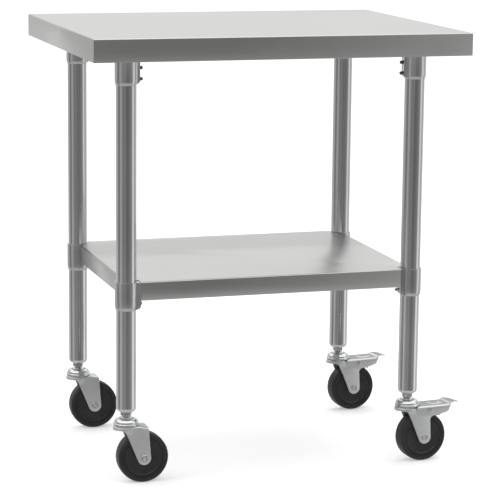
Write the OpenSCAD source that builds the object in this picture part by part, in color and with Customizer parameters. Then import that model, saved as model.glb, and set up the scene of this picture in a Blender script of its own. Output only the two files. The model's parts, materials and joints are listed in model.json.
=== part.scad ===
// Kitchen island cart: folded steel worktop on four tubular legs, a height-adjustable
// lower shelf held by leg clamps, and four swivel castors, two of them with a total brake.
// Units are millimetres. +Z is up, +X runs along the long side, -Y is the front.
// The origin is on the floor, under the centre of the worktop.

/* [Worktop] */
// Length of the worktop along X
top_w = 762; // [600:1:1200]
// Depth of the worktop along Y
top_d = 610; // [450:1:760]
// Height of the working surface above the floor
top_h = 886; // [840:1:940]
// Height of the folded edge of the worktop
top_apron = 45; // [30:1:60]
// Width of the hem folded inwards at the bottom of the edge
top_hem = 13; // [8:1:20]
// Thickness of the sheet steel
sheet_t = 1.2; // [0.8:0.1:2]
// Outside bend radius of the folded edges
bend_r = 2.4; // [1.5:0.1:5]

/* [Channels] */
// Height of the hat channels under the worktop
chan_h = 25; // [15:1:35]
// Inside width of a hat channel
chan_w = 61; // [50:1:80]
// Width of each flange of a hat channel
chan_flange = 20; // [12:1:30]
// Length of the channels under the worktop
chan_l = 668; // [500:1:720]
// Thickness of the channel sheet
chan_t = 1.5; // [1:0.1:2.5]

/* [Legs] */
// Outside diameter of a leg tube
leg_od = 40; // [32:0.1:45]
// Wall thickness of a leg tube
leg_t = 1.2; // [1:0.1:2]
// Distance of the leg axes from the middle, along X
leg_x = 296; // [220:1:480]
// Distance of the leg axes from the middle, along Y
leg_y = 214; // [150:1:300]
// Height of the lower end of the tubes
leg_z0 = 147; // [140:1:160]

/* [Sockets and clamps] */
// Outside diameter of the cast sleeves
sleeve_od = 45; // [42:0.5:52]
// Height of the lower end of the leg sockets
socket_z0 = 789; // [760:1:800]
// Height of the shelf clamps
clamp_h = 55; // [40:1:70]
// Reach of the screw boss from the leg axis
boss_reach = 26; // [24:0.5:32]
// Width of the screw boss of a socket
boss_w = 13; // [10:0.5:18]
// Height of the tapered lower end of a sleeve
taper_h = 7; // [4:0.5:12]
// Radial gap between a shelf clamp and its leg
clamp_gap = 0.3; // [0.2:0.05:0.6]
// Diameter of the set screws
screw_d = 6.8; // [5:0.1:8]
// Distance of the set screw ends from the leg axis
screw_reach = 32; // [28:0.5:36]
// Height of the lower screw above the end of the sleeve
screw_z1 = 11; // [8:0.5:16]
// Distance between the two screws of a sleeve
screw_dz = 21.5; // [16:0.5:28]

/* [Shelf] */
// Height of the shelf surface above the floor
shelf_h = 405; // [260:1:650]
// Length of the shelf along X
shelf_w = 592; // [440:1:960]
// Depth of the shelf along Y
shelf_d = 460; // [320:1:620]
// Height of the folded edge of the shelf
shelf_apron = 37; // [25:1:50]
// Width of the hem at the bottom of the shelf edge
shelf_hem = 11; // [8:1:16]
// Height of the stiffener under the shelf
stiff_h = 20; // [12:1:28]
// Length of the stiffener
stiff_l = 556; // [400:1:900]

/* [Castors] */
// Wheel diameter
wheel_d = 102; // [75:1:127]
// Wheel width
wheel_w = 32; // [24:1:38]
// Radius of the rounded tread edges
tread_r = 5.5; // [2:0.5:5.5]
// Radius where the tread meets the wheel core
core_r = 39.5; // [30:0.5:44]
// Trail of the wheel axis behind the swivel axis
trail = 32; // [20:1:45]
// Thickness of the fork plate
fork_t = 3; // [2:0.1:4]
// Distance between the outer faces of the fork
fork_w = 42; // [38:0.5:52]
// Height of the top of the fork crown
crown_z = 114.5; // [110:0.5:120]
// Thickness of the fork crown
crown_t = 4; // [3:0.5:6]
// Radius of the fork crown about the swivel axis
crown_r = 27; // [24:0.5:32]
// Diameter of the axle
axle_d = 12; // [8:0.5:14]
// Radial running clearance of the wheel and the swivel
run_gap = 0.06; // [0.02:0.01:0.1]
// Swivel angle of the two left castors at rest
swivel_left = 0; // [-180:1:180]
// Swivel angle of the two right castors at rest
swivel_right = 6; // [-180:1:180]

/* [Brakes] */
// Distance of the pedal pivot from the swivel axis
pivot_x = 45.5; // [44:0.5:50]
// Height of the pedal pivot
pivot_z = 105.5; // [105:0.5:107]
// Diameter of the pedal pin
pin_d = 6; // [4:0.5:8]
// Length of the flange behind the fork, from the swivel axis
flange_reach = 88; // [70:1:95]
// Reach of the pedal tip from the swivel axis
pedal_reach = 117; // [100:1:125]
// Thickness of the pedal plate
pedal_t = 2; // [1.5:0.1:3]
// Angle that the pedal turns when it is pressed
press_deg = 7; // [3:0.5:8]

/* [Hidden] */
leg_r = leg_od / 2;
sleeve_r = sleeve_od / 2;
top_under = top_h - sheet_t;
chan_base = top_under - chan_h;
socket_top = chan_base;
leg_z1 = socket_top - 3.4;
clamp_top = shelf_h - 1;
clamp_z0 = clamp_top - clamp_h;
wheel_r = wheel_d / 2;
plate_in = fork_w / 2 - fork_t;
ball_r = 3.5;
ball_ring = 18.5;
ball_z = crown_z + 3;
dome_rim = crown_z + 2.8;
dome_top = dome_rim + 12.5;
$fn = 48;

steel = [0.74, 0.75, 0.76];
tube = [0.66, 0.67, 0.69];
cast_metal = [0.72, 0.73, 0.74];
zinc = [0.80, 0.81, 0.82];
dark = [0.16, 0.16, 0.17];

// ---------------------------------------------------------------- placing

// A child made for a leg axis at the origin, moved to the leg at side sx, sy.
module at_leg(sx, sy) {
  translate([sx * leg_x, sy * leg_y, 0]) children();
}

// A castor child moved to its leg and turned to its rest angle.
module at_castor(sx, sy) {
  at_leg(sx, sy) rotate([0, 0, sx > 0 ? swivel_right : swivel_left]) children();
}

// The child at all four legs.
module each_leg() {
  for (sx = [-1, 1]) for (sy = [-1, 1]) at_leg(sx, sy) mirror([sx > 0 ? 1 : 0, 0, 0]) children();
}

// ---------------------------------------------------------------- folded sheet

// Rectangle w by h with its two upper corners rounded to radius r, standing on y = 0.
module arch_2d(w, h, r) {
  translate([-w / 2, 0]) square([w, h - r]);
  translate([-w / 2 + r, 0]) square([w - 2 * r, h]);
  for (s = [-1, 1]) translate([s * (w / 2 - r), h - r]) circle(r = r);
}

// Block w by d by h with rounded upper edges.
module arch_block(w, d, h, r) {
  intersection() {
    translate([0, d / 2, 0]) rotate([90, 0, 0]) linear_extrude(d) arch_2d(w, h, r);
    translate([-w / 2, 0, 0]) rotate([90, 0, 90]) linear_extrude(w) arch_2d(d, h, r);
  }
}

// Sheet tray, open below, with folded edges and a hem turned inwards.
module tray(w, d, h, hem) {
  difference() {
    arch_block(w, d, h, bend_r);
    translate([0, 0, sheet_t])
      arch_block(w - 2 * sheet_t, d - 2 * sheet_t, h - 2 * sheet_t, bend_r - sheet_t);
    translate([-w / 2 + hem, -d / 2 + hem, -1]) cube([w - 2 * hem, d - 2 * hem, 5]);
  }
}

// Hat section channel along X, hanging h below the origin.
module hat(l, w, h, flange, t) {
  translate([-l / 2, 0, 0]) rotate([90, 0, 90]) linear_extrude(l) {
    translate([-w / 2 - t, -h]) square([w + 2 * t, t]);
    for (s = [0, 1]) mirror([s, 0]) {
      translate([w / 2, -h]) square([t, h]);
      translate([w / 2, -t]) square([t + flange, t]);
    }
  }
}

module worktop() {
  color(steel) translate([0, 0, top_h - top_apron]) tray(top_w, top_d, top_apron, top_hem);
}

module channel(side) {
  color(steel) translate([0, side * leg_y, top_under]) hat(chan_l, chan_w, chan_h, chan_flange, chan_t);
}

// Weld stud with a flange nut, hanging from the underside of the worktop.
module stud() {
  translate([0, 0, -13]) cylinder(d = 5, h = 13);
  translate([0, 0, -chan_t - 1.2]) cylinder(d = 12, h = 1.2);
  translate([0, 0, -chan_t - 6]) cylinder(d = 9.2, h = 5, $fn = 6);
}

module channel_studs() {
  y_off = chan_w / 2 + chan_t + chan_flange / 2;
  color(zinc)
    for (side = [-1, 1]) for (x = [-150, 150]) for (s = [-1, 1])
      translate([x, side * leg_y + s * y_off, top_under]) stud();
}

// Channel with the holes that its studs pass through.
module channel_drilled(side) {
  y_off = chan_w / 2 + chan_t + chan_flange / 2;
  difference() {
    channel(side);
    for (x = [-150, 150]) for (s = [-1, 1])
      translate([x, side * leg_y + s * y_off, top_under - 20]) cylinder(d = 5.6, h = 30);
  }
}

// ---------------------------------------------------------------- legs and sleeves

module leg() {
  color(tube) translate([0, 0, leg_z0]) difference() {
    cylinder(r = leg_r, h = leg_z1 - leg_z0, $fn = 96);
    translate([0, 0, -1]) cylinder(r = leg_r - leg_t, h = leg_z1 - leg_z0 + 2, $fn = 96);
  }
}

// Outside of a cast sleeve with its tapered lower end.
module sleeve_body(h) {
  translate([0, 0, taper_h]) cylinder(r = sleeve_r, h = h - taper_h, $fn = 96);
  cylinder(r1 = leg_r + 0.8, r2 = sleeve_r, h = taper_h, $fn = 96);
}

// Screw boss on the +X side, y0 to y1 wide, with a rounded lower corner.
module boss(h, y0, y1) {
  r = 8;
  translate([0, y1, 0]) rotate([90, 0, 0]) linear_extrude(y1 - y0) {
    translate([0, r]) square([boss_reach, h - r]);
    translate([0, 1.5]) square([boss_reach - r, h - 1.5]);
    translate([boss_reach - r, r + 1.5]) circle(r = r);
  }
}

// The two screw holes of a sleeve.
module screw_holes() {
  for (z = [screw_z1, screw_z1 + screw_dz])
    translate([leg_r - 4, 0, z]) rotate([0, 90, 0]) cylinder(d = screw_d + 0.1, h = 20);
}

// Cast leg socket with a square flange that sits under the channel.
module socket() {
  h = socket_top - socket_z0;
  color(cast_metal) translate([0, 0, socket_z0]) difference() {
    union() {
      sleeve_body(h);
      boss(h, -boss_w / 2, boss_w / 2);
      translate([-30, -30, h - 3]) cube([60, 60, 3]);
      translate([-26, -3, h - 16]) cube([20, 6, 14]);
    }
    translate([0, 0, -1]) cylinder(r = leg_r + 0.05, h = h - 2, $fn = 96);
    screw_holes();
  }
}

// Two set screws with hexagon sockets. The screw tips stop at radius tip.
module set_screws(tip) {
  for (z = [screw_z1, screw_z1 + screw_dz]) translate([0, 0, z]) rotate([0, 90, 0]) difference() {
    union() {
      translate([0, 0, tip + 1]) cylinder(d = screw_d, h = screw_reach - tip - 2);
      translate([0, 0, tip]) cylinder(d1 = screw_d - 2, d2 = screw_d, h = 1);
      translate([0, 0, screw_reach - 1]) cylinder(d1 = screw_d, d2 = screw_d - 1.4, h = 1);
    }
    translate([0, 0, screw_reach - 3.5]) cylinder(d = 3.6, h = 6, $fn = 6);
  }
}

module socket_screws() {
  color(dark) each_leg() translate([0, 0, socket_z0]) set_screws(leg_r + 0.1);
}

// Shelf clamp for the leg at side sx, sy. Its boss fills the notch in the shelf corner.
module shelf_clamp(sx, sy) {
  color(cast_metal) translate([0, 0, clamp_z0]) mirror([sx > 0 ? 1 : 0, 0, 0]) mirror([0, sy > 0 ? 1 : 0, 0])
    difference() {
      union() {
        sleeve_body(clamp_h);
        boss(clamp_h, leg_y - shelf_d / 2, boss_w / 2);
      }
      translate([0, 0, -1]) cylinder(r = leg_r + clamp_gap, h = clamp_h + 2, $fn = 96);
      translate([0, 0, clamp_h - 0.8]) cylinder(r1 = leg_r + clamp_gap, r2 = leg_r + clamp_gap + 1, h = 1);
      screw_holes();
    }
}

module clamp_screws() {
  color(dark) each_leg() translate([0, 0, clamp_z0]) set_screws(leg_r + clamp_gap);
}

// ---------------------------------------------------------------- shelf

// Space cut from the shelf for one clamp.
module corner_notch() {
  y_out = shelf_d / 2 - leg_y + 2;
  translate([0, 0, -60]) cylinder(r = sleeve_r + 0.4, h = 70, $fn = 96);
  translate([-24, -y_out, -60]) cube([24 + boss_reach + 0.2, y_out + boss_w / 2 + 0.4, 70]);
}

module shelf() {
  color(steel) difference() {
    translate([0, 0, shelf_h - shelf_apron]) tray(shelf_w, shelf_d, shelf_apron, shelf_hem);
    for (sx = [-1, 1]) for (sy = [-1, 1]) at_leg(sx, sy)
      mirror([sx > 0 ? 1 : 0, 0, 0]) mirror([0, sy > 0 ? 1 : 0, 0])
        translate([0, 0, shelf_h]) corner_notch();
  }
}

module shelf_stiffener() {
  color(steel) translate([0, 0, shelf_h - sheet_t]) hat(stiff_l, 60, stiff_h, 18, sheet_t);
}

// ---------------------------------------------------------------- castor top

// Insert in the lower end of the tube, with a tapered collar below it.
module leg_plug() {
  color(zinc) difference() {
    union() {
      translate([0, 0, leg_z0]) cylinder(r = leg_r - leg_t - 0.05, h = 32);
      translate([0, 0, leg_z0 - 1]) cylinder(r = leg_r - 0.3, h = 1);
      translate([0, 0, leg_z0 - 4]) cylinder(r1 = 12.5, r2 = leg_r - 0.3, h = 3);
    }
    translate([0, 0, leg_z0 - 5]) cylinder(d = 12.1, h = 40);
  }
}

// Threaded stem, collar and kingpin in one turned piece.
module stem() {
  z_col = leg_z0 - 4;
  color(zinc) {
    translate([0, 0, z_col]) cylinder(d = 12, h = 30);
    translate([0, 0, z_col - 3]) cylinder(r1 = 9.2, r2 = 11.5, h = 3);
    translate([0, 0, dome_top + 2]) cylinder(r = 9.2, h = z_col - dome_top - 5);
    translate([0, 0, dome_top]) cylinder(r1 = 11, r2 = 9.2, h = 2);
    translate([0, 0, crown_z - crown_t - 3]) cylinder(d = 12, h = dome_top - crown_z + crown_t + 3);
    translate([0, 0, crown_z - crown_t - 4.5]) cylinder(r1 = 7.5, r2 = 9.5, h = 4);
  }
}

// Domed upper race.
module race_cap() {
  r = 12;
  color(zinc) rotate_extrude($fn = 72) difference() {
    union() {
      translate([6.05, dome_rim]) square([25.5 - r - 6.05, dome_top - dome_rim]);
      intersection() {
        translate([25.5 - r, dome_top - r]) circle(r = r);
        translate([6.05, dome_rim]) square([20, 20]);
      }
      translate([6.05, dome_rim]) square([19.45, 0.6]);
    }
    translate([ball_ring, ball_z]) circle(r = ball_r + 0.08);
  }
}

// Ring of bearing balls.
module balls() {
  for (a = [0 : 36 : 324]) rotate([0, 0, a]) translate([ball_ring, 0, ball_z]) sphere(r = ball_r, $fn = 24);
}

module swivel_balls() {
  color(zinc) for (sx = [-1, 1]) for (sy = [-1, 1]) at_castor(sx, sy) balls();
}

// ---------------------------------------------------------------- castor fork

// Outline of a fork leg seen along its axle. The brake flange is added when brake is set.
module fork_leg_2d(brake) {
  z_top = crown_z - 1;
  translate([trail, wheel_r]) circle(r = 13.5);
  polygon([[-3.5, z_top], [40.5, z_top], [trail + 13.5, wheel_r], [trail - 12.4, wheel_r - 5.3], [-3.5, 98]]);
  difference() {
    translate([-20, 98]) square([17, z_top - 98]);
    translate([-14.5, 98]) circle(r = 11);
    translate([-21, 97]) square([6.6, 12]);
  }
  if (brake) difference() {
    polygon([[30, 111.5], [pivot_x, 111.5], [flange_reach, 108.5], [flange_reach - 5, 101], [58, 94.5],
      [42, 80]]);
    translate([53.5, 85.5]) circle(r = 10);
  }
}

module fork(brake) {
  color(zinc) difference() {
    union() {
      translate([0, 0, crown_z - crown_t]) intersection() {
        cylinder(r = crown_r, h = crown_t, $fn = 72);
        translate([-40, -fork_w / 2 - 3, -1]) cube([80, fork_w + 6, 10]);
      }
      translate([0, -fork_w / 2, crown_z - crown_t]) cube([39.5, fork_w, crown_t - 1]);
      for (y = [-fork_w / 2, plate_in]) translate([0, y + fork_t, 0]) rotate([90, 0, 0])
        linear_extrude(fork_t) fork_leg_2d(brake);
    }
    translate([0, 0, crown_z - crown_t - 1]) cylinder(d = axle_d + 2 * run_gap, h = 10);
    rotate_extrude($fn = 72) translate([ball_ring, ball_z]) circle(r = ball_r + 0.08);
    translate([trail, 30, wheel_r]) rotate([90, 0, 0]) cylinder(d = axle_d + 0.1, h = 60);
    if (brake) translate([pivot_x, 30, pivot_z]) rotate([90, 0, 0]) cylinder(d = pin_d + 0.1, h = 60);
  }
}

// Axle bolt with a low round head on the front side.
module axle() {
  color(zinc) translate([trail, 0, wheel_r]) rotate([-90, 0, 0]) {
    translate([0, 0, -fork_w / 2]) cylinder(d = axle_d, h = fork_w + 9);
    translate([0, 0, -fork_w / 2 - 2.5]) cylinder(r = 8.5, h = 2.5);
    translate([0, 0, -fork_w / 2 - 4]) cylinder(r1 = 6, r2 = 8.5, h = 1.5);
  }
}

module axle_nut() {
  color(zinc) translate([trail, 0, wheel_r]) rotate([-90, 0, 0]) difference() {
    union() {
      translate([0, 0, fork_w / 2]) cylinder(r = 11, h = 1.2);
      translate([0, 0, fork_w / 2 + 1.2]) cylinder(r = 9.8, h = 6.5, $fn = 6);
    }
    translate([0, 0, fork_w / 2 - 1]) cylinder(d = axle_d + 0.1, h = 12);
  }
}

// ---------------------------------------------------------------- wheel

// Rubber tread with rounded edges.
module tread() {
  half = wheel_w / 2;
  color(dark) translate([trail, 0, wheel_r]) rotate([90, 0, 0]) rotate_extrude($fn = 96) {
    translate([core_r, -half]) square([wheel_r - tread_r - core_r, wheel_w]);
    translate([core_r, -half + tread_r]) square([wheel_r - core_r, wheel_w - 2 * tread_r]);
    for (s = [-1, 1]) translate([wheel_r - tread_r, s * (half - tread_r)]) circle(r = tread_r);
  }
}

// Moulded wheel core with a thinner web and a hub that runs on the axle.
module wheel_core() {
  half = wheel_w / 2;
  color(dark) translate([trail, 0, wheel_r]) rotate([90, 0, 0]) rotate_extrude($fn = 96) {
    translate([axle_d / 2 + run_gap, -plate_in + 0.35]) square([6.5, 2 * plate_in - 0.7]);
    translate([axle_d / 2 + 3, -half + 3]) square([core_r - axle_d / 2 - 3, wheel_w - 6]);
    translate([core_r - 5.5, -half + 1.2]) square([4, wheel_w - 2.4]);
  }
}

// ---------------------------------------------------------------- brake

// Plan of the pedal, with a nose that narrows to the tip.
module pedal_plan() {
  w = fork_w / 2 + 0.3 + pedal_t;
  polygon([[29, -w], [flange_reach + 3, -w], [pedal_reach - 9, -14], [pedal_reach, -5], [pedal_reach, 5],
    [pedal_reach - 9, 14], [flange_reach + 3, w], [29, w]]);
}

// Pressed pedal: a cap over the fork flanges with a raised nose, and two lugs at the pin.
module brake_pedal() {
  w = fork_w / 2 + 0.3 + pedal_t;
  z1 = crown_z + 0.6;
  z2 = z1 + pedal_t;
  lug = plate_in - 0.4;
  x_step = flange_reach - 3;
  color(zinc) difference() {
    union() {
      intersection() {
        translate([0, w, 0]) rotate([90, 0, 0]) linear_extrude(2 * w) polygon([
          [29, z1], [x_step, z1], [x_step + 6, z1 + 3], [pedal_reach - 14, z1 + 3], [pedal_reach, z1 - 1],
          [pedal_reach, z1 - 1 + pedal_t], [pedal_reach - 14, z2 + 3], [x_step + 5.5, z2 + 3],
          [x_step - 0.5, z2], [29, z2]]);
        linear_extrude(200) pedal_plan();
      }
      for (s = [0, 1]) mirror([0, s, 0]) {
        translate([29, -w, z1 - 3.6]) cube([x_step - 29, pedal_t, 3.6 + pedal_t]);
        translate([0, -lug + 2.5, 0]) rotate([90, 0, 0]) linear_extrude(2.5) {
          translate([pivot_x, pivot_z]) circle(r = 5);
          translate([pivot_x - 5, pivot_z]) square([12, z1 + 0.5 - pivot_z]);
        }
      }
    }
    translate([pivot_x, 40, pivot_z]) rotate([90, 0, 0]) cylinder(d = pin_d + 2 * run_gap, h = 80);
  }
}

// Pin through the fork legs, with a flat head at each end.
module pedal_pin() {
  color(zinc) translate([pivot_x, 0, pivot_z]) rotate([-90, 0, 0]) {
    translate([0, 0, -fork_w / 2]) cylinder(d = pin_d, h = fork_w);
    for (s = [0, 1]) mirror([0, 0, s]) translate([0, 0, fork_w / 2]) cylinder(r = 4.5, h = 1.8);
  }
}

// Block under the pedal that bears on the tread when the pedal is pressed.
module brake_shoe() {
  half = plate_in - 4.5;
  color(dark) translate([0, half, 0]) rotate([90, 0, 0]) linear_extrude(2 * half) difference() {
    polygon([[pivot_x + 4.5, crown_z + 0.6], [pivot_x + 4.5, 90], [66, 84], [72, 100], [69, crown_z + 0.6]]);
    translate([trail, wheel_r]) circle(r = wheel_r + 0.9);
    translate([pivot_x, pivot_z]) rotate(press_deg) translate([trail - pivot_x, wheel_r - pivot_z])
      circle(r = wheel_r + 0.4);
  }
}

// ---------------------------------------------------------------- nodes

worktop();
channel_drilled(-1);  // channel_front
channel_drilled(1);  // channel_back
channel_studs();

at_leg(-1, -1) leg();  // leg_fl
at_leg(1, -1) leg();  // leg_fr
at_leg(-1, 1) leg();  // leg_bl
at_leg(1, 1) leg();  // leg_br

at_leg(-1, -1) socket();  // socket_fl
at_leg(1, -1) mirror([1, 0, 0]) socket();  // socket_fr
at_leg(-1, 1) socket();  // socket_bl
at_leg(1, 1) mirror([1, 0, 0]) socket();  // socket_br
socket_screws();

shelf();
shelf_stiffener();
at_leg(-1, -1) shelf_clamp(-1, -1);  // shelf_clamp_fl
at_leg(1, -1) shelf_clamp(1, -1);  // shelf_clamp_fr
at_leg(-1, 1) shelf_clamp(-1, 1);  // shelf_clamp_bl
at_leg(1, 1) shelf_clamp(1, 1);  // shelf_clamp_br
clamp_screws();

at_leg(-1, -1) leg_plug();  // leg_plug_fl
at_leg(1, -1) leg_plug();  // leg_plug_fr
at_leg(-1, 1) leg_plug();  // leg_plug_bl
at_leg(1, 1) leg_plug();  // leg_plug_br

at_castor(-1, -1) stem();  // stem_fl
at_castor(1, -1) stem();  // stem_fr
at_castor(-1, 1) stem();  // stem_bl
at_castor(1, 1) stem();  // stem_br

at_castor(-1, -1) race_cap();  // race_cap_fl
at_castor(1, -1) race_cap();  // race_cap_fr
at_castor(-1, 1) race_cap();  // race_cap_bl
at_castor(1, 1) race_cap();  // race_cap_br
swivel_balls();

at_castor(-1, -1) fork(false);  // fork_fl
at_castor(1, -1) fork(true);  // fork_fr
at_castor(-1, 1) fork(false);  // fork_bl
at_castor(1, 1) fork(true);  // fork_br

at_castor(-1, -1) axle();  // axle_fl
at_castor(1, -1) axle();  // axle_fr
at_castor(-1, 1) axle();  // axle_bl
at_castor(1, 1) axle();  // axle_br

at_castor(-1, -1) axle_nut();  // axle_nut_fl
at_castor(1, -1) axle_nut();  // axle_nut_fr
at_castor(-1, 1) axle_nut();  // axle_nut_bl
at_castor(1, 1) axle_nut();  // axle_nut_br

at_castor(-1, -1) tread();  // tread_fl
at_castor(1, -1) tread();  // tread_fr
at_castor(-1, 1) tread();  // tread_bl
at_castor(1, 1) tread();  // tread_br

at_castor(-1, -1) wheel_core();  // wheel_core_fl
at_castor(1, -1) wheel_core();  // wheel_core_fr
at_castor(-1, 1) wheel_core();  // wheel_core_bl
at_castor(1, 1) wheel_core();  // wheel_core_br

at_castor(1, -1) brake_pedal();  // brake_pedal_fr
at_castor(1, 1) brake_pedal();  // brake_pedal_br
at_castor(1, -1) pedal_pin();  // pedal_pin_fr
at_castor(1, 1) pedal_pin();  // pedal_pin_br
at_castor(1, -1) brake_shoe();  // brake_shoe_fr
at_castor(1, 1) brake_shoe();  // brake_shoe_br
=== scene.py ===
"""Kitchen island cart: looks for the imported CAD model, in metres, in the CAD model's own frame."""

import json
import math

import bmesh
import bpy
from mathutils import Matrix, Quaternion, Vector


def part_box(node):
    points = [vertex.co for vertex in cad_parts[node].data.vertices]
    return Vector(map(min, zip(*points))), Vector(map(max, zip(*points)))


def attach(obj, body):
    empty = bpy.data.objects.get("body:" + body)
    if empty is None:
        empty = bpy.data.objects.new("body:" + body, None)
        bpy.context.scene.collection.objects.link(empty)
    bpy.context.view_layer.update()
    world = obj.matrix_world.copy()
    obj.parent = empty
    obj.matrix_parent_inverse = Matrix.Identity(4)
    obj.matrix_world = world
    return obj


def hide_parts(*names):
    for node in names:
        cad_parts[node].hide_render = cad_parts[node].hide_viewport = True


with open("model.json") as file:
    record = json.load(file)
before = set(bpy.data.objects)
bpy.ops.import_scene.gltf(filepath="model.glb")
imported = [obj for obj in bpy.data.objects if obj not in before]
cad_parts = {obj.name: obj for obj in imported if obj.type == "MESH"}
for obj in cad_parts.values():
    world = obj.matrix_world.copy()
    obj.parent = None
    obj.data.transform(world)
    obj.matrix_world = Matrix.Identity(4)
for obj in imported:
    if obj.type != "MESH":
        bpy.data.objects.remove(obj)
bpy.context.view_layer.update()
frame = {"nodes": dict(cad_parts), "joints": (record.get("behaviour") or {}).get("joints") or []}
NODES = frame["nodes"]
SIDES = ("fl", "fr", "bl", "br")
BRAKED = ("fr", "br")
MM = 0.001


# ---------------------------------------------------------------- camera and studio

CAMERA_AZIMUTH = -17.2
CAMERA_ELEVATION = 10.55
CAMERA_ROLL = 0.6
CAMERA_DISTANCE = 4.577
CAMERA_LENS = 158.35
CAMERA_SENSOR = 36
CAMERA_TARGET = Vector((0.022, 0.0, 0.414))


def make_camera():
    """Camera to the left of the front, a little above the worktop."""
    azimuth, elevation = math.radians(CAMERA_AZIMUTH), math.radians(CAMERA_ELEVATION)
    back = Vector((
        math.sin(azimuth) * math.cos(elevation),
        -math.cos(azimuth) * math.cos(elevation),
        math.sin(elevation),
    ))
    data = bpy.data.cameras.new("camera")
    data.lens = CAMERA_LENS
    data.sensor_width = CAMERA_SENSOR
    camera = bpy.data.objects.new("camera", data)
    bpy.context.scene.collection.objects.link(camera)
    camera.rotation_mode = "QUATERNION"
    camera.location = CAMERA_TARGET + back * CAMERA_DISTANCE
    turn = (-back).to_track_quat("-Z", "Y")
    turn.rotate(Quaternion(-back, math.radians(-CAMERA_ROLL)))
    camera.rotation_quaternion = turn
    bpy.context.scene.camera = camera


def area_light(name, place, target, size, power):
    """Rectangular soft light that points at the target and is not mirrored by the metal."""
    data = bpy.data.lights.new(name, "AREA")
    data.shape = "RECTANGLE"
    data.size, data.size_y = size
    data.energy = power
    lamp = bpy.data.objects.new(name, data)
    bpy.context.scene.collection.objects.link(lamp)
    lamp.location = place
    lamp.visible_glossy = False
    lamp.rotation_mode = "QUATERNION"
    lamp.rotation_quaternion = (Vector(target) - Vector(place)).to_track_quat("-Z", "Y")


class Nodes:
    """Short way to write a node tree."""

    def __init__(self, tree):
        self.tree = tree

    def add(self, kind, **values):
        """New node. A value sets a property of that name, or else the input of that name or number."""
        node = self.tree.nodes.new(kind)
        for key, value in values.items():
            if hasattr(node, key):
                setattr(node, key, value)
            else:
                self.put(node, key, value)
        return node

    def put(self, node, key, value):
        """Set or link one input. The key is a name, or i and a number."""
        if key[0] == "i" and key[1:].isdigit():
            socket = node.inputs[int(key[1:])]
        else:
            socket = node.inputs[key.replace("_", " ")]
        if isinstance(value, bpy.types.NodeSocket):
            self.tree.links.new(value, socket)
        else:
            socket.default_value = value

    def math(self, operation, a, b=0.0, c=0.0):
        """Result of one maths operation."""
        return self.add("ShaderNodeMath", operation=operation, i0=a, i1=b, i2=c).outputs[0]

    def ramp(self, value, stops, interpolation="LINEAR"):
        """Colour ramp with (place, grey) or (place, colour) stops."""
        node = self.add("ShaderNodeValToRGB", Fac=value)
        node.color_ramp.interpolation = interpolation
        points = node.color_ramp.elements
        while len(points) < len(stops):
            points.new(0.5)
        for point, (place, colour) in zip(points, stops):
            point.position = place
            if isinstance(colour, (int, float)):
                colour = (colour,) * 3
            point.color = (*colour, 1)
        return node.outputs[0]


# Brightness of the floor and the ceiling in reflections.
FLOOR_GLOW = 0.6
CEILING_GLOW = 1.3

# Steepness of a direction where the walls begin to give way to floor or ceiling, and where they end.
WALL_END = (0.35, 0.62)

# Brightness of the room round the object, by the direction from the front, in degrees to the right.
ROOM = (
    (-180, 0.86), (-155, 0.56), (-130, 0.6), (-116, 0.32), (-96, 0.2),
    (-78, 0.55), (-64, 0.36), (-45, 0.24), (-24, 0.27), (-6, 0.16),
    (18, 0.2), (36, 0.27), (50, 0.28), (60, 0.85), (74, 1.0),
    (88, 0.5), (104, 0.6), (122, 0.8), (150, 0.88), (180, 0.88),
)

FLOOR_HALF = 40.0
FLOOR_ALBEDO = 0.82
FLOOR_ROUGHNESS = 0.9
FLOOR_EMISSION = 0.34


def make_world():
    """White backdrop for the camera, and a studio with bright walls and a dark front for the metal."""
    world = bpy.data.worlds.new("studio")
    world.use_nodes = True
    bpy.context.scene.world = world
    tree = Nodes(world.node_tree)
    world.node_tree.nodes.clear()
    direction = tree.add("ShaderNodeTexCoord").outputs["Generated"]
    parts = tree.add("ShaderNodeSeparateXYZ", i0=direction).outputs
    front = tree.math("MULTIPLY", parts[1], -1.0)
    turn = tree.math("ARCTAN2", parts[0], front)
    share = tree.math("MULTIPLY_ADD", turn, 0.5 / math.pi, 0.5)
    room = tree.ramp(share, [((angle + 180) / 360, value) for angle, value in ROOM], "EASE")
    steepness = tree.math("ABSOLUTE", parts[2])
    steep = tree.ramp(steepness, [(WALL_END[0], 0.0), (WALL_END[1], 1.0)], "EASE")
    height = tree.math("MULTIPLY_ADD", parts[2], 0.5, 0.5)
    ends = tree.ramp(height, [(0.45, FLOOR_GLOW), (0.55, CEILING_GLOW)])
    ceiling = tree.add("ShaderNodeMix", data_type="RGBA")
    tree.tree.links.new(steep, ceiling.inputs["Factor"])
    tree.tree.links.new(room, ceiling.inputs["A"])
    tree.tree.links.new(ends, ceiling.inputs["B"])
    reflected = tree.add("ShaderNodeBackground", Color=ceiling.outputs["Result"], Strength=1.0)
    plain = tree.add("ShaderNodeBackground", Color=(1, 1, 1, 1), Strength=1.0)
    ray = tree.add("ShaderNodeLightPath").outputs["Is Glossy Ray"]
    both = tree.add("ShaderNodeMixShader", i0=ray, i1=plain.outputs[0], i2=reflected.outputs[0])
    tree.add("ShaderNodeOutputWorld", Surface=both.outputs[0])


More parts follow.
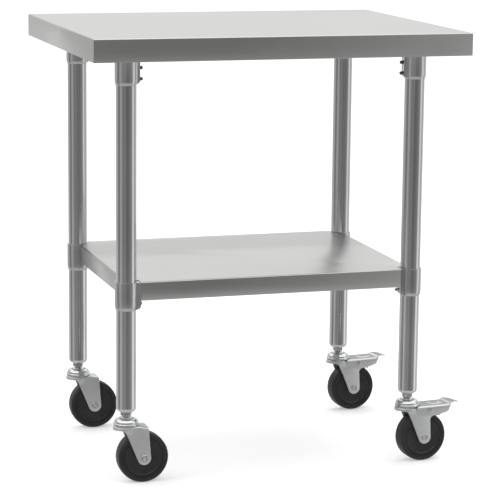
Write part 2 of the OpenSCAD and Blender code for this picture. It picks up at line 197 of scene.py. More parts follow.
def make_floor():
    """Plain white floor, well past the object on every side."""
    data = bpy.data.meshes.new("floor")
    signs = ((-1, -1), (1, -1), (1, 1), (-1, 1))
    corners = [(x * FLOOR_HALF, y * FLOOR_HALF, 0) for x, y in signs]
    data.from_pydata(corners, [], [(0, 1, 2, 3)])
    floor = bpy.data.objects.new("floor", data)
    bpy.context.scene.collection.objects.link(floor)
    material = bpy.data.materials.new("floor_white")
    material.use_nodes = True
    shader = material.node_tree.nodes["Principled BSDF"]
    shader.inputs["Base Color"].default_value = (FLOOR_ALBEDO, FLOOR_ALBEDO, FLOOR_ALBEDO, 1)
    shader.inputs["Roughness"].default_value = FLOOR_ROUGHNESS
    shader.inputs["Emission Color"].default_value = (1, 1, 1, 1)
    shader.inputs["Emission Strength"].default_value = FLOOR_EMISSION
    data.materials.append(material)
    floor.visible_glossy = False


def make_studio():
    """World, floor, soft lights and colour handling."""
    make_world()
    make_floor()
    area_light("overhead", place=(0.3, 0.4, 3.2), target=(0, 0, 0.6), size=(2.4, 2.4), power=40)
    area_light("left", place=(-2.6, -0.6, 1.8), target=(0, 0, 0.5), size=(1.0, 1.6), power=14)
    bpy.context.scene.view_settings.view_transform = "Standard"


# ---------------------------------------------------------------- materials

# Darkest tone of a brushed metal as a share of its base colour, and the depth of its strokes in metres.
BRUSHED_SHADE = 0.93
BRUSHED_DEPTH = 0.0004

# Lightest tone of a dull material as a multiple of its base colour, and the depth of its skin.
DULL_SHADE = 1.5
DULL_DEPTH = 0.0003

# Painted reflection of the floor: the tubes fade upwards between these heights, in metres, to this share
# of their base colour, so their lower ends are painted lighter.
TUBE_REFLECTION_FADE = (0.28, 0.52)
TUBE_UNREFLECTED_SHARE = 0.82

# Upward part of the normal where zinc plate counts as an edge, and where it counts as a flat top that
# gets painted shade.
ZINC_TOP_SHADE_NORMAL = (0.9, 0.985)


def new_material(name):
    """Empty material with a Principled shader. Gives the material, its node helper and the shader."""
    material = bpy.data.materials.new(name)
    material.use_nodes = True
    tree = Nodes(material.node_tree)
    return material, tree, material.node_tree.nodes["Principled BSDF"]


def stretched(tree, scale):
    """Object coordinates scaled per axis, for grain that runs along one axis."""
    place = tree.add("ShaderNodeTexCoord").outputs["Object"]
    return tree.add("ShaderNodeMapping", Vector=place, Scale=scale).outputs[0]


def brushed(name, base, roughness, grain, spread=0.08, bump=0.02, anisotropy=0.0, along=None):
    """Metal with a fine grain. The grain is a scale per axis, small along the strokes."""
    material, tree, shader = new_material(name)
    fine = tree.add("ShaderNodeTexNoise", Vector=stretched(tree, grain), Scale=1.0, Detail=4.0,
                    Roughness=0.7)
    cloud = tree.add("ShaderNodeTexNoise", Vector=stretched(tree, (6, 6, 6)), Scale=1.0, Detail=3.0)
    half_cloud = tree.math("MULTIPLY_ADD", cloud.outputs[0], 0.5, 0.0)
    mixed = tree.math("MULTIPLY_ADD", fine.outputs[0], 0.5, half_cloud)
    gloss = tree.add("ShaderNodeMapRange", Value=mixed, From_Min=0.3, From_Max=0.7,
                     To_Min=roughness - spread, To_Max=roughness + spread)
    dark = tuple(c * BRUSHED_SHADE for c in base)
    tone = tree.ramp(mixed, [(0.35, dark), (0.65, base)])
    relief = tree.add("ShaderNodeBump", Strength=bump, Distance=BRUSHED_DEPTH, Height=fine.outputs[0])
    tree.put(shader, "Base_Color", tone)
    tree.put(shader, "Roughness", gloss.outputs[0])
    tree.put(shader, "Normal", relief.outputs[0])
    shader.inputs["Metallic"].default_value = 1.0
    shader.inputs["Anisotropic"].default_value = anisotropy
    if along:
        strokes = tree.add("ShaderNodeCombineXYZ", X=along[0], Y=along[1], Z=along[2])
        tree.put(shader, "Tangent", strokes.outputs[0])
    return material


def shade_base(material, place, stops):
    """Multiply the base colour by a ramp of this value, with these stops."""
    tree = Nodes(material.node_tree)
    shader = material.node_tree.nodes["Principled BSDF"]
    plain = shader.inputs["Base Color"].links[0].from_socket
    shaded = tree.add("ShaderNodeMix", data_type="RGBA", blend_type="MULTIPLY")
    shaded.inputs["Factor"].default_value = 1.0
    tree.tree.links.new(plain, shaded.inputs["A"])
    tree.tree.links.new(tree.ramp(place, stops), shaded.inputs["B"])
    tree.tree.links.new(shaded.outputs["Result"], shader.inputs["Base Color"])


def sheet_steel():
    """Satin stainless sheet, brushed along X."""
    return brushed("stainless_sheet_grain", (0.67, 0.67, 0.66), roughness=0.31, grain=(14, 900, 900),
                   spread=0.04, bump=0.02, anisotropy=0.5, along=(1, 0, 0))


def tube_steel():
    """Drawn and polished stainless tube, with faint lengthwise marks, and a painted reflection of the
    floor that makes it lighter under the shelf.
    """
    material = brushed("stainless_tube_grain", (0.78, 0.78, 0.78), roughness=0.16,
                       grain=(700, 700, 10), spread=0.04, bump=0.03)
    tree = Nodes(material.node_tree)
    # Painted reflection of the floor: the base colour is lighter low on the tube and darker higher up.
    height = tree.add("ShaderNodeSeparateXYZ", i0=stretched(tree, (1, 1, 1))).outputs[2]
    shade_base(material, height, [(TUBE_REFLECTION_FADE[0], 1.0), (TUBE_REFLECTION_FADE[1], TUBE_UNREFLECTED_SHARE)])
    return material


def cast_metal():
    """Polished casting with slight waviness."""
    return brushed("cast_polished", (0.64, 0.64, 0.64), roughness=0.21, grain=(50, 50, 20),
                   spread=0.04, bump=0.03)


def zinc_plate(name, top_shade):
    """Satin zinc plate on pressed steel, with painted shade: its flat tops are darker than its edges, by
    this factor.
    """
    material = brushed(name, (0.75, 0.755, 0.76), roughness=0.42, grain=(90, 90, 90), bump=0.05)
    material.node_tree.nodes["Principled BSDF"].inputs["Metallic"].default_value = 0.88
    tree = Nodes(material.node_tree)
    # Painted shade: the base colour darkens where the face points up, on flat tops.
    normal = tree.add("ShaderNodeNewGeometry").outputs["Normal"]
    upward = tree.add("ShaderNodeSeparateXYZ", i0=normal).outputs[2]
    shade_base(material, upward, [(ZINC_TOP_SHADE_NORMAL[0], 1.0), (ZINC_TOP_SHADE_NORMAL[1], top_shade)])
    return material


def bright_zinc():
    """Bright zinc plate on turned and drawn pieces."""
    return brushed("zinc_bright", (0.74, 0.745, 0.75), roughness=0.17, grain=(60, 60, 60),
                   spread=0.04, bump=0.04)


def ball_steel():
    """Polished bearing steel."""
    return brushed("bearing_polished", (0.7, 0.7, 0.7), roughness=0.12, grain=(200, 200, 200),
                   spread=0.04, bump=0.01)


def galvanised():
    """Galvanised sheet with spangles."""
    material, tree, shader = new_material("galvanised_spangle")
    cells = tree.add("ShaderNodeTexVoronoi", Vector=stretched(tree, (90, 90, 90)), Scale=1.0)
    flake = tree.add("ShaderNodeSeparateColor", Color=cells.outputs["Color"]).outputs[0]
    tone = tree.ramp(flake, [(0.0, (0.5, 0.52, 0.54)), (1.0, (0.66, 0.68, 0.69))])
    tree.put(shader, "Base_Color", tone)
    gloss = tree.add("ShaderNodeMapRange", Value=flake, To_Min=0.32, To_Max=0.52)
    tree.put(shader, "Roughness", gloss.outputs[0])
    shader.inputs["Metallic"].default_value = 1.0
    return material


def dull(name, grey, roughness, grain, bump, metallic=0.0, spread=0.08, specular=0.5):
    """Dark matt material with a fine skin. The grain is the skin's scale."""
    base = (grey,) * 3
    material, tree, shader = new_material(name)
    skin = tree.add("ShaderNodeTexNoise", Vector=stretched(tree, (grain,) * 3), Scale=1.0, Detail=5.0)
    cloud = tree.add("ShaderNodeTexNoise", Vector=stretched(tree, (25,) * 3), Scale=1.0, Detail=3.0)
    light = tuple(c * DULL_SHADE for c in base)
    tree.put(shader, "Base_Color", tree.ramp(cloud.outputs[0], [(0.3, base), (0.75, light)]))
    gloss = tree.add("ShaderNodeMapRange", Value=cloud.outputs[0], From_Min=0.3, From_Max=0.7,
                     To_Min=roughness - spread, To_Max=roughness + spread)
    tree.put(shader, "Roughness", gloss.outputs[0])
    relief = tree.add("ShaderNodeBump", Strength=bump, Distance=DULL_DEPTH, Height=skin.outputs[0])
    tree.put(shader, "Normal", relief.outputs[0])
    shader.inputs["Metallic"].default_value = metallic
    shader.inputs["Specular IOR Level"].default_value = specular
    return material


def make_materials():
    """All finishes: one for each of the record's slots, and two more looks of zinc plate: bright zinc,
    and zinc with strong painted shade on its flat tops.
    """
    return {
        "stainless_sheet": sheet_steel(),
        "galvanised_channel": galvanised(),
        "stainless_tube": tube_steel(),
        "cast_aluminium": cast_metal(),
        # Both satin zincs carry painted shade on their flat tops: faint on the first, strong on the
        # second, which the pedals use.
        "zinc_plate": zinc_plate("zinc_satin", top_shade=0.95),
        "top_shaded_zinc": zinc_plate("zinc_top_shaded", top_shade=0.5),
        "bright_zinc": bright_zinc(),
        "bearing_steel": ball_steel(),
        "black_screw": dull("dark_steel", 0.12, roughness=0.3, grain=600, bump=0.1, metallic=0.85),
        "black_rubber": dull("rubber_tread", 0.015, roughness=0.46, grain=900, bump=0.3, specular=0.35),
        "black_nylon": dull("moulded_core", 0.017, roughness=0.3, grain=500, bump=0.1, spread=0.06,
                            specular=0.4),
    }


# ---------------------------------------------------------------- mesh helpers

# Points of a new mesh that are closer than this, in millimetres, are merged.
DOUBLE_GAP = 0.001


def fillet_path(points, steps=6):
    """Path of 2D points, where a point with a third number is rounded to that radius."""
    path = []
    for i, point in enumerate(points):
        here = Vector(point[:2])
        radius = point[2] if len(point) > 2 else 0
        if not radius or i in (0, len(points) - 1):
            path.append(here)
            continue
        before = (Vector(points[i - 1][:2]) - here).normalized()
        after = (Vector(points[i + 1][:2]) - here).normalized()
        half = before.angle(after) / 2
        reach = radius / math.tan(half)
        centre = here + (before + after).normalized() * (radius / math.sin(half))
        first = here + before * reach - centre
        sweep = first.angle_signed(here + after * reach - centre)
        for k in range(steps + 1):
            turn = -sweep * k / steps
            c, s = math.cos(turn), math.sin(turn)
            path.append(centre + Vector((first.x * c - first.y * s, first.x * s + first.y * c)))
    return path


def add_piece(name, mesh, material):
    """New object with this mesh and material, shaded smooth."""
    piece = bpy.data.objects.new(name, mesh)
    bpy.context.scene.collection.objects.link(piece)
    mesh.materials.append(material)
    mesh.shade_smooth()
    return piece


def lathe(profile, segments=96):
    """Mesh of a closed profile of (radius, height) points turned about Z."""
    mesh = bpy.data.meshes.new("turned")
    ring = len(profile)
    points, faces = [], []
    for k in range(segments):
        angle = 2 * math.pi * k / segments
        points += [(p[0] * math.cos(angle), p[0] * math.sin(angle), p[1]) for p in profile]
    for k in range(segments):
        a, b = k * ring, (k + 1) % segments * ring
        for i in range(ring):
            j = (i + 1) % ring
            faces.append((a + i, b + i, b + j, a + j))
    mesh.from_pydata(points, [], faces)
    return tidy_mesh(mesh)


def finished_mesh(work, name):
    """Mesh of this name from a bmesh, which is freed."""
    mesh = bpy.data.meshes.new(name)
    work.to_mesh(mesh)
    work.free()
    return tidy_mesh(mesh)


def tidy_mesh(mesh):
    """Merge doubled points and turn all faces outwards."""
    work = bmesh.new()
    work.from_mesh(mesh)
    bmesh.ops.remove_doubles(work, verts=work.verts, dist=DOUBLE_GAP)
    bmesh.ops.recalc_face_normals(work, faces=work.faces)
    work.to_mesh(mesh)
    work.free()
    return mesh


# ---------------------------------------------------------------- carried-over CAD nodes

# Angles in degrees: edges up to SMOOTH_ANGLE are shaded smooth. Edges sharper than SHARP_ANGLE are
# rounded on the CAD nodes that have a width below, and those past CUT_ANGLE on the sheet pieces.
SMOOTH_ANGLE = 28
SHARP_ANGLE = 35
CUT_ANGLE = 50

# Merging distance in metres, and the angle in degrees up to which facets count as one flat face.
WELD_GAP = 0.00001
FLAT_ANGLE = 0.6

# Width of the rounded edges by kind of node, in millimetres. The other nodes stay sharp.
EDGE_WIDTH = {
    "worktop": 0.3, "shelf": 0.3, "shelf_clamp": 0.6, "socket": 0.6,
    "axle_nut": 0.4, "pedal_pin": 0.3, "brake_shoe": 0.5,
}

# Nodes with another finish than the one that their slot names.
OTHER_FINISH = {"clamp_screws": "bright_zinc"}


def smooth_group():
    """Node group that shades smooth, apart from the sharp edges."""
    group = bpy.data.node_groups.new("smooth_by_angle", "GeometryNodeTree")
    group.interface.new_socket("Geometry", in_out="INPUT", socket_type="NodeSocketGeometry")
    group.interface.new_socket("Geometry", in_out="OUTPUT", socket_type="NodeSocketGeometry")
    tree = Nodes(group)
    start = tree.add("NodeGroupInput")
    angle = tree.add("GeometryNodeInputMeshEdgeAngle").outputs["Unsigned Angle"]
    soft = tree.add("FunctionNodeCompare", data_type="FLOAT", operation="LESS_EQUAL", i0=angle,
                    i1=math.radians(SMOOTH_ANGLE)).outputs[0]
    faces = tree.add("GeometryNodeSetShadeSmooth", domain="FACE", Geometry=start.outputs[0])
    faces.inputs["Shade Smooth"].default_value = True
    edges = tree.add("GeometryNodeSetShadeSmooth", domain="EDGE", Geometry=faces.outputs[0])
    tree.tree.links.new(soft, edges.inputs["Shade Smooth"])
    tree.add("NodeGroupOutput", i0=edges.outputs[0])
    return group


def add_smoothing(piece, group):
    """Shade the piece smooth by the angle of its edges."""
    smooth = piece.modifiers.new("smooth", "NODES")
    smooth.node_group = group


def add_bevel(piece, width, angle):
    """Round the edges that are sharper than the angle, in degrees. The width is in metres."""
    bevel = piece.modifiers.new("bevel", "BEVEL")
    bevel.width = width
    bevel.segments = 2
    bevel.limit_method = "ANGLE"
    bevel.angle_limit = math.radians(angle)


def finish_edges(piece, width, group):
    """Merge split corners, dissolve flat triangles, round the sharp edges and shade smooth."""
    if "custom_normal" in piece.data.attributes:
        piece.data.attributes.remove(piece.data.attributes["custom_normal"])
    weld = piece.modifiers.new("weld", "WELD")
    weld.merge_threshold = WELD_GAP
    flat = piece.modifiers.new("flat", "DECIMATE")
    flat.decimate_type = "DISSOLVE"
    flat.angle_limit = math.radians(FLAT_ANGLE)
    if width:
        add_bevel(piece, width, SHARP_ANGLE)
    add_smoothing(piece, group)


def finish_nodes(materials, group):
    """Give every CAD node its material and fine edges."""
    for name, piece in NODES.items():
        slot = piece.data.materials[0].name.split(".")[0]
        piece.material_slots[0].material = materials[OTHER_FINISH.get(name, slot)]
        kind, _, corner = name.rpartition("_")
        width = EDGE_WIDTH.get(kind if corner in SIDES else name, 0.0)
        finish_edges(piece, width * MM, group)


# ---------------------------------------------------------------- castors

# Sizes in millimetres. Those of a castor are about its swivel axis, with +X towards the wheel.
TRAIL = 32.0
WHEEL_RADIUS = 51.0
WHEEL_HALF = 16.0
JAM_NUT_CORNER = 11.8
JAM_NUT_LOW = 136.2
JAM_NUT_HIGH = 143.1
PLUG_LOW = 143.0

# Fork: the flat plates stand at PLATE_Y, and the crown reaches from CROWN_LEFT to CROWN_END.
PLATE_Y = 21.0
PLATE_THICK = 3.0
PLATE_TOP = 98.0
PLATE_EDGE = 0.5
FOOT_RADIUS = 13.5
FOOT_LEAN = 5.0 / 62.5
CROWN_TOP = 113.5
CROWN_LEFT = 26.8
CROWN_HALF = 22.8
CROWN_END = 40.5
CROWN_BEND = 4.0
CROWN_NARROW = 13
LEAN_START = 20
BALL_EDGE = 22.2
RACE_GAP = 0.4

# Ear of a braked fork's plate, under the pedal, from its top to its tip, and the hollow below it.
EAR = ((45.5, 111.3), (88, 108.5), (87, 104), (83, 101))
EAR_HOLLOW = (53.5, 85.5)
EAR_HOLLOW_RADIUS = 10

# Rise of the crown round the bearing, where it ends outwards, and where it ends under a pedal.
CROWN_LIFT = 3.0
LIFT_END = (BALL_EDGE + 4, BALL_EDGE + 18)
LIFT_UNDER_PEDAL = 11

# Hollow below the crown, in front of the plates.
HOLLOW_X = -14.5
HOLLOW_RADIUS = 11

# Numbers of steps: along the crown's sides, round its left end, across its right end, from the
# bearing outwards, round its bend and down its skirt. The skirts of PLATE_COLUMNS meet a plate.
SIDE_STEPS = 18
TURN_STEPS = 40
END_STEPS = 12
RING_STEPS = 6
BEND_STEPS = 5
SKIRT_STEPS = 6
PLATE_COLUMNS = 30

# Pedal: it starts at a gap from the stem, and its skirts end where the nose begins.
PEDAL_TOP = 117.1
PEDAL_HALF = 23.3
PEDAL_GAP = 26.2
PEDAL_START = 20
PEDAL_TIP = 116.9
PEDAL_THICK = 1.8
PEDAL_EDGE = 0.3
PEDAL_STEPS = 110
PEDAL_ACROSS = 64
PIVOT = (45.5, 105.5)
SKIRT_DEPTH = 8.4
BEND_RADIUS = 4.8

# Nose: where it begins, how much the skirt and the bend lose there, its rise, its narrowing to
# NOSE_HALF and on to the tip, and the droop of the tip.
NOSE = (87, 91)
NOSE_CUT = 7.2
NOSE_BEND_CUT = 3.6
NOSE_RISE = 3
NOSE_RISE_AT = (84, 92)
NOSE_NARROW = (88, 110)
NOSE_HALF = 13.6
TIP_X = 108
TIP_NARROW = 8.4
TIP_LENGTH = 9
TIP_DROOP = 4
TIP_DROOP_AT = (100, 121)

# Notch of the skirts over the pin: its reach along the pedal from the pin, and its depth.
NOTCH = (5.4, 8)
NOTCH_DEPTH = 2.6

# Raised pad, as middle, half length and half width, and its two dimples.
PAD_X = 58
PAD_LENGTH = 20
PAD_WIDTH = 12
PAD_RISE = 1.5
DIMPLES = (46, 70)
DIMPLE_RADIUS = 3.8
DIMPLE_DEPTH = 3.2

# The pedal's curved start round the stem turns into straight rows between these places.
STRAIGHTEN = (78, 88)

# Lugs of the pedal, about its pin.
LUG_RADIUS = 4.5
LUG_BACK = 7.0
LUG_INNER = 15.1
LUG_OUTER = 17.6
LUG_STEPS = 48
PIN_BORE = 3.06

# Leg tube and its rolled lower end.
TUBE_WALL = 1.2
ROLL_DEPTH = 2.6
ROLL_HEIGHT = 7
ROLL_STEPS = 8


def castor_matrix(side):
    """Moves millimetres about a swivel axis to this castor's place and rest angle."""
    places = {joint["name"]: joint["pos_m"] for joint in frame["joints"] if "pos_m" in joint}
    swivel, roll = Vector(places["swivel_" + side]), Vector(places["roll_" + side])
    turn = math.atan2(roll.y - swivel.y, roll.x - swivel.x)
    place = Matrix.Translation((swivel.x, swivel.y, 0))
    return place @ Matrix.Rotation(turn, 4, "Z") @ Matrix.Scale(MM, 4)


def ease(value, start, end):
    """0 before start, 1 after end, and smooth between them."""
    share = min(1.0, max(0.0, (value - start) / (end - start)))
    return share * share * (3 - 2 * share)


def arc(centre, radius, first, last, steps):
    """Points on a circle between two angles in degrees."""
    angles = [math.radians(first + (last - first) * k / steps) for k in range(steps + 1)]
    return [(centre[0] + radius * math.cos(a), centre[1] + radius * math.sin(a)) for a in angles]


def crown_height(x, y, braked):
    """Height of the crown's top, which rises towards the bearing but stays low under a pedal."""
    lift = CROWN_LIFT
    if braked:
        lift *= 1 - ease(x, 0, LIFT_UNDER_PEDAL)
    return CROWN_TOP + lift * (1 - ease(math.hypot(x, y), *LIFT_END))


def crown_half(x):
    """Half width of the crown, which narrows to the distance of the fork plates."""
    return CROWN_HALF + (PLATE_Y - CROWN_HALF) * ease(x, 0, CROWN_NARROW)


def crown_outline():
    """Plan of the crown from its back end round the bearing, as (x, y, outward x, outward y)."""
    straight = [CROWN_END * (1 - k / SIDE_STEPS) for k in range(SIDE_STEPS)]
    front = [(x, -crown_half(x), 0.0, -1.0) for x in straight]
    left = []
    for k in range(TURN_STEPS + 1):
        a = math.radians(-90 - 180 * k / TURN_STEPS)
        out = Vector((math.cos(a) / CROWN_LEFT, math.sin(a) / CROWN_HALF)).normalized()
        left.append((CROWN_LEFT * math.cos(a), CROWN_HALF * math.sin(a), out.x, out.y))
    back = [(x, crown_half(x), 0.0, 1.0) for x in reversed(straight)]
    return front + left + back


def skirt_bottom(x):
    """Height where the turned-down side of the crown ends, or meets the flat fork plate."""
    if x >= HOLLOW_X + HOLLOW_RADIUS:
        return PLATE_TOP
    if x > HOLLOW_X:
        return PLATE_TOP + math.sqrt(max(0.0, HOLLOW_RADIUS ** 2 - (x - HOLLOW_X) ** 2))
    return PLATE_TOP + HOLLOW_RADIUS


def foot_lean(x, z):
    """Shift of the fork plate's back edge, which leans back towards the axle."""
    return FOOT_LEAN * (CROWN_TOP - z) * ease(x, LEAN_START, CROWN_END)


def plate_outline(braked):
    """Outline of a fork plate below its top row, from the back edge round the axle to the front edge."""
    foot = arc((TRAIL, WHEEL_RADIUS), FOOT_RADIUS, 0, -157, 20)
    if not braked:
        return foot
    return list(EAR) + arc(EAR_HOLLOW, EAR_HOLLOW_RADIUS, 63, 199, 12) + foot


def join_rows(work, rows):
    """Faces between neighbouring rows of vertices."""
    for a, b in zip(rows, rows[1:]):
        for k in range(len(a) - 1):
            work.faces.new((a[k], a[k + 1], b[k + 1], b[k]))


def crown_rows(work, braked):
    """Rows of vertices on the crown's top, from the bearing out to the start of the bend."""
    limit = PLATE_Y - CROWN_BEND
    plan = [(x - nx * CROWN_BEND, y - ny * CROWN_BEND) for x, y, nx, ny in crown_outline()]
    end_y = [-limit + 2 * limit * k / END_STEPS for k in range(END_STEPS + 1)]
    plan += [(CROWN_END, y) for y in reversed(end_y[1:-1])]
    rows = []
    for x, y in plan:
        reach = math.hypot(x, y)
        inner = min(BALL_EDGE, reach - RACE_GAP)
        edge_x = x * inner / reach
        edge_y = y * inner / reach
        row = []
        for k in range(RING_STEPS + 1):
            px = edge_x + (x - edge_x) * k / RING_STEPS
            py = edge_y + (y - edge_y) * k / RING_STEPS
            row.append(work.verts.new((px, py, crown_height(px, py, braked))))
        rows.append(row)
    return rows


def skirt_column(work, point, top_vertex):
    """Column of vertices from the crown's top round its bend and down to the end of its skirt."""
    x, y, nx, ny = point
    top = top_vertex.co.z
    column = [top_vertex]
    for k in range(1, BEND_STEPS + 1):
        turn = math.pi / 2 * k / BEND_STEPS
        out = CROWN_BEND * (math.sin(turn) - 1)
        z = top - CROWN_BEND * (1 - math.cos(turn))
        column.append(work.verts.new((x + nx * out + foot_lean(x, z), y + ny * out, z)))
    start = top - CROWN_BEND
    bottom = skirt_bottom(x)
    flat_y = math.copysign(PLATE_Y, y)
    for k in range(1, SKIRT_STEPS + 1):
        z = start + (bottom - start) * k / SKIRT_STEPS
        flare = ease(z, PLATE_TOP, start) if x > HOLLOW_X else 1.0
        column.append(work.verts.new((x + foot_lean(x, z), flat_y + (y - flat_y) * flare, z)))
    return column


def fork_mesh(braked):
    """One pressed sheet: the crown round the bearing, its rolled sides and two flat plates."""
    work = bmesh.new()
    rows = crown_rows(work, braked)
    join_rows(work, rows + rows[:1])
    skirts = [skirt_column(work, point, row[-1]) for point, row in zip(crown_outline(), rows)]
    join_rows(work, skirts)
    for columns in (skirts[:PLATE_COLUMNS], skirts[::-1][:PLATE_COLUMNS]):
        flat = [c for c in columns if c[-1].co.z < PLATE_TOP + 0.01]
        y = math.copysign(PLATE_Y, flat[0][-1].co.y)
        edge = [work.verts.new((px, y, pz)) for px, pz in plate_outline(braked)]
        back = flat[0][BEND_STEPS:-1] if braked else []
        work.faces.new([c[-1] for c in reversed(flat)] + list(reversed(back)) + edge)
    return finished_mesh(work, "fork")


def sheet_piece(name, mesh, material, matrix, thickness, edge, group):
    """Piece of sheet from a single surface: thickness inwards, rounded cut edges."""
    mesh.transform(matrix)
    piece = add_piece(name, mesh, material)
    solid = piece.modifiers.new("thickness", "SOLIDIFY")
    solid.thickness = thickness * MM
    solid.offset = -1
    add_bevel(piece, edge * MM, CUT_ANGLE)
    add_smoothing(piece, group)
    return piece


def solid_piece(name, mesh, material, matrix, group):
    """Turned, moulded or cut piece placed by its matrix."""
    mesh.transform(matrix)
    piece = add_piece(name, mesh, material)
    add_smoothing(piece, group)
    return piece


def race_cap_mesh():
    """Bearing cap: a sunk centre, a rounded shoulder, a crease and a rolled rim."""
    return lathe(fillet_path([
        (9.6, 119), (9.6, 126.4), (13.8, 126.4, 0.8), (14.6, 129.8, 0.9), (20.2, 129.8, 3.4),
        (23.7, 125.2, 1.6), (23.2, 121.9, 0.4), (25.4, 121.4, 1.9), (25.4, 117.3, 1.4),
        (23.8, 117.3), (22.5, 119),
    ]))


def stem_mesh():
    """Neck between the bearing cap and the leg, with a collar and five turns of thread."""
    profile = [(0.01, 119), (9.3, 119), (9.3, 127.6)]
    profile += [(11.4, 127.8, 0.5), (11.4, 130.9, 0.6), (8.8, 131.6)]
    for k in range(5):
        z = 132.2 + 1.5 * k
        profile += [(8.8, z), (8.1, z + 0.75)]
    profile += [(8.8, 139.7), (8.8, 143), (0.01, 143)]
    return lathe(fillet_path(profile), segments=64)


def hex_nut_mesh(corner, low, high):
    """Hexagon nut with turned-off corners."""
    chamfer = 0.7
    shares = ((0.86, low), (1.0, low + chamfer), (1.0, high - chamfer), (0.86, high))
    ring = [(corner * share, z) for share, z in shares]
    points, faces = [], []
    sides = 72
    for k in range(sides):
        angle = 2 * math.pi * k / sides
        flat = math.cos(math.pi / 6) / math.cos((angle % (math.pi / 3)) - math.pi / 6)
        for radius, z in ring:
            r = min(radius, corner * flat)
            points.append((r * math.cos(angle), r * math.sin(angle), z))
    for k in range(sides):
        a, b = k * 4, (k + 1) % sides * 4
        faces += [(a + i, b + i, b + i + 1, a + i + 1) for i in range(3)]
    faces.append([k * 4 for k in range(sides)])
    faces.append([k * 4 + 3 for k in range(sides)])
    mesh = bpy.data.meshes.new("nut")
    mesh.from_pydata(points, [], faces)
    return tidy_mesh(mesh)


def plug_mesh(low):
    """Insert of the tube with a tapered collar under it."""
    return lathe(fillet_path([
        (6.05, low), (12.3, low, 0.8), (16.9, low + 3.0, 1.2), (17.3, low + 4.6),
        (16.2, low + 6), (16.2, low + 34), (6.05, low + 34),
    ]))


def tube_mesh(low, high, radius):
    """Leg tube with its lower end rolled inwards round the plug."""
    outside = []
    for k in range(ROLL_STEPS + 1):
        a = math.pi / 2 * k / ROLL_STEPS
        outside.append((radius - ROLL_DEPTH * (1 - math.cos(a)), low + ROLL_HEIGHT * (1 - math.sin(a))))
    inside = [(r - TUBE_WALL, z) for r, z in reversed(outside)]
    return lathe([(radius, high)] + outside + inside + [(radius - TUBE_WALL, high)])


def mirrored_lathe(right, joined):
    """Mesh turned from one half of a profile and its mirror image, which may share the last point."""
    shared = right[:-1] if joined else right
    return lathe(list(right) + [(r, -w) for r, w in reversed(shared)], segments=128)


def tread_mesh():
    """Rubber tread with rounded shoulders and a step on each side."""
    half = WHEEL_HALF
    return mirrored_lathe(fillet_path([
        (39.5, half - 2.4), (40.2, half - 1.3, 0.4), (44.4, half - 1.1, 0.3), (45.2, half - 0.1, 0.3),
        (WHEEL_RADIUS - 0.6, half, 4.8), (WHEEL_RADIUS, 0),
    ], steps=8), joined=True)


def core_mesh():
    """Moulded core: hub, web and a raised ring next to the tread."""
    half = WHEEL_HALF
    return mirrored_lathe(fillet_path([
        (6.06, half + 1.6), (12.2, half + 1.6, 0.8), (13.4, half - 2.6, 1.2), (33.6, half - 3.2, 1.4),
        (35.2, half - 1.4, 0.7), (38.2, half - 1.4, 0.7), (39.45, half - 2.8),
    ]), joined=False)


def axle_mesh():
    """Axle with a low hollow rivet head at the front. Its length runs along Z, front first."""
    return lathe(fillet_path([
        (0.01, -19.4), (2.8, -19.4, 0.8), (4.4, -22.9, 0.5), (6.4, -22.9, 0.8), (7.2, -21.0),
        (6.0, -20.9), (6.0, 29.2, 0.6), (5.2, 30.0), (0.01, 30.0),
    ]), segments=64)


def pedal_half(x):
    """Half width of the pedal, which narrows to the tip."""
    if x < NOSE[1]:
        return PEDAL_HALF
    if x < TIP_X:
        return PEDAL_HALF + (NOSE_HALF - PEDAL_HALF) * ease(x, *NOSE_NARROW)
    return NOSE_HALF - TIP_NARROW * ((x - TIP_X) / TIP_LENGTH) ** 1.6


def pedal_height(x, y):
    """Height of the pedal's top: a raised pad with two dimples, a raised nose and a drooping tip."""
    droop = TIP_DROOP * ease(x, *TIP_DROOP_AT) / ease(PEDAL_TIP, *TIP_DROOP_AT)
    pad = ease(1 - math.hypot((x - PAD_X) / PAD_LENGTH, y / PAD_WIDTH), 0, 0.3)
    dimples = sum(ease(1 - math.hypot(x - cx, y + 1) / DIMPLE_RADIUS, 0, 0.6) for cx in DIMPLES)
    flat = PEDAL_TOP + NOSE_RISE * ease(x, *NOSE_RISE_AT) - droop
    return flat + PAD_RISE * pad - DIMPLE_DEPTH * dimples


def pedal_section(x):
    """Section across the pedal, as (y, height from its top): skirt, bend, flat, bend, skirt."""
    half = pedal_half(x)
    over_pin = 1 - ease(abs(x - PIVOT[0]), *NOTCH)
    drop = SKIRT_DEPTH - NOTCH_DEPTH * over_pin - NOSE_CUT * ease(x, *NOSE)
    bend = BEND_RADIUS - NOSE_BEND_CUT * ease(x, *NOSE)
    inner = half - bend
    skirt = [(half, -bend)] * 2
    if drop > bend + 0.1:
        skirt = [(half, -bend - (drop - bend) * share) for share in (1.0, 0.5)]
    curve = []
    for k in range(BEND_STEPS, 0, -1):
        turn = math.pi / 2 * k / BEND_STEPS
        curve.append((inner + bend * math.sin(turn), -bend * (1 - math.cos(turn))))
    across = [(inner * (1 - 2 * k / PEDAL_ACROSS), 0.0) for k in range(PEDAL_ACROSS + 1)]
    mirrored = [(-y, z) for y, z in reversed(skirt + curve)]
    return skirt + curve + across + mirrored


def pedal_mesh():
    """Pressed pedal with rolled edges, notched over its pin and curved round the stem."""
    work = bmesh.new()
    rows = []
    for i in range(PEDAL_STEPS + 1):
        x = PEDAL_START + (PEDAL_TIP - PEDAL_START) * i / PEDAL_STEPS
        row = []
        for y, dz in pedal_section(x):
            start = math.sqrt(PEDAL_GAP ** 2 - y ** 2)
            px = start + (PEDAL_TIP - start) * i / PEDAL_STEPS
            row.append(work.verts.new((px + (x - px) * ease(x, *STRAIGHTEN), y, pedal_height(x, y) + dz)))
        rows.append(row)
    join_rows(work, rows)
    return finished_mesh(work, "pedal")


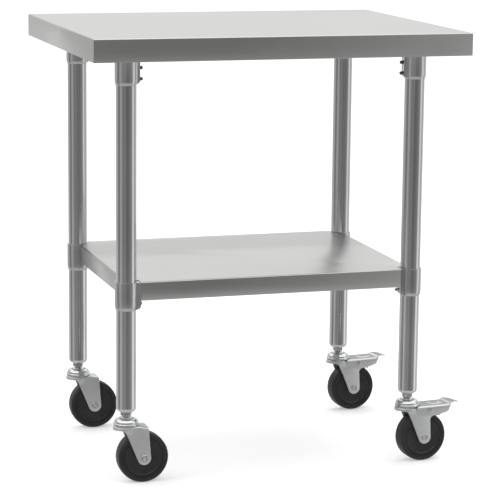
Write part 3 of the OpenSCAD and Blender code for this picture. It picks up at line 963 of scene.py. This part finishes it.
def lug_reach(angle):
    """Distance from the pin to the edge of a lug: round below, and straight up to the cap."""
    c, s = math.cos(angle), math.sin(angle)
    if s <= 0:
        return LUG_RADIUS
    sideways = LUG_BACK if c > 0 else LUG_RADIUS
    return min(sideways / max(abs(c), 0.001), (PEDAL_TOP - PEDAL_THICK - PIVOT[1]) / s)


def lug_mesh():
    """The two lugs that hang from the pedal, bored for its pin."""
    work = bmesh.new()
    for inner, outer in ((-LUG_OUTER, -LUG_INNER), (LUG_INNER, LUG_OUTER)):
        rings = []
        for k in range(LUG_STEPS):
            angle = 2 * math.pi * k / LUG_STEPS
            reach = lug_reach(angle)
            ring = []
            for radius, y in ((PIN_BORE, inner), (reach, inner), (reach, outer), (PIN_BORE, outer)):
                place = (PIVOT[0] + radius * math.cos(angle), y, PIVOT[1] + radius * math.sin(angle))
                ring.append(work.verts.new(place))
            rings.append(ring + ring[:1])
        join_rows(work, rings + rings[:1])
    return finished_mesh(work, "lugs")


def build_bearing(side, materials, matrix, group):
    """Cap, stem, jam nut and leg plug of one castor, which stay with the frame."""
    bright = materials["bright_zinc"]
    nut_mesh = hex_nut_mesh(JAM_NUT_CORNER, JAM_NUT_LOW, JAM_NUT_HIGH)
    cap = solid_piece("race_cap_formed_" + side, race_cap_mesh(), bright, matrix, group)
    stem = solid_piece("stem_turned_" + side, stem_mesh(), bright, matrix, group)
    nut = solid_piece("jam_nut_" + side, nut_mesh, bright, matrix, group)
    plug = solid_piece("leg_plug_turned_" + side, plug_mesh(PLUG_LOW), bright, matrix, group)
    for piece, node in ((cap, "race_cap_"), (stem, "stem_"), (nut, "stem_"), (plug, "leg_plug_")):
        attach(piece, "frame")
        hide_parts(node + side)


def build_fork(side, materials, matrix, axis, group):
    """Pressed fork and axle of one castor."""
    pressed = fork_mesh(side in BRAKED)
    # This zinc carries faint painted shade on the fork's flat top.
    zinc = materials["zinc_plate"]
    fork = sheet_piece("fork_pressed_" + side, pressed, zinc, matrix, PLATE_THICK, PLATE_EDGE, group)
    axle = solid_piece("axle_riveted_" + side, axle_mesh(), materials["bright_zinc"], axis, group)
    for piece, node in ((fork, "fork_"), (axle, "axle_")):
        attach(piece, "castor_fork_" + side)
        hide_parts(node + side)


def build_wheel(side, materials, axis, group):
    """Tread and core of one wheel."""
    rubber, nylon = materials["black_rubber"], materials["black_nylon"]
    tread = solid_piece("tread_moulded_" + side, tread_mesh(), rubber, axis, group)
    core = solid_piece("wheel_core_moulded_" + side, core_mesh(), nylon, axis, group)
    for piece, node, slot in ((tread, "tread_", "black_rubber"), (core, "wheel_core_", "black_nylon")):
        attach(piece, "castor_wheel_" + side)
        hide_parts(node + side)


def build_pedal(side, materials, matrix, group):
    """Brake pedal of one castor, with its lugs."""
    pressed = pedal_mesh()
    # The pedal's flat top is darkened by painted shade; its rolled edges keep the full colour.
    shaded_zinc = materials["top_shaded_zinc"]
    pedal = sheet_piece("pedal_pressed_" + side, pressed, shaded_zinc, matrix, PEDAL_THICK, PEDAL_EDGE, group)
    lugs = solid_piece("pedal_lugs_" + side, lug_mesh(), materials["zinc_plate"], matrix, group)
    for piece in (pedal, lugs):
        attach(piece, "brake_" + side)
        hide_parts("brake_pedal_" + side)


def build_castor(side, materials, group):
    """All the finer pieces of one castor."""
    matrix = castor_matrix(side)
    to_axle = Matrix.Translation((TRAIL, 0, WHEEL_RADIUS))
    axis = matrix @ to_axle @ Matrix.Rotation(math.radians(-90), 4, "X")
    build_bearing(side, materials, matrix, group)
    build_fork(side, materials, matrix, axis, group)
    build_wheel(side, materials, axis, group)
    if side in BRAKED:
        build_pedal(side, materials, matrix, group)


def build_leg(side, materials, group):
    """Leg tube with a rolled lower end."""
    low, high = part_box("leg_" + side)
    centre = (low + high) / 2
    radius = (high.x - low.x) / 2 / MM
    matrix = Matrix.Translation((centre.x, centre.y, 0)) @ Matrix.Scale(MM, 4)
    mesh = tube_mesh(low.z / MM, high.z / MM, radius)
    tube = solid_piece("leg_rolled_" + side, mesh, materials["stainless_tube"], matrix, group)
    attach(tube, "frame")
    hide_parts("leg_" + side)


# ---------------------------------------------------------------- run

make_camera()
make_studio()
materials = make_materials()
group = smooth_group()
finish_nodes(materials, group)
for side in SIDES:
    build_castor(side, materials, group)
    build_leg(side, materials, group)
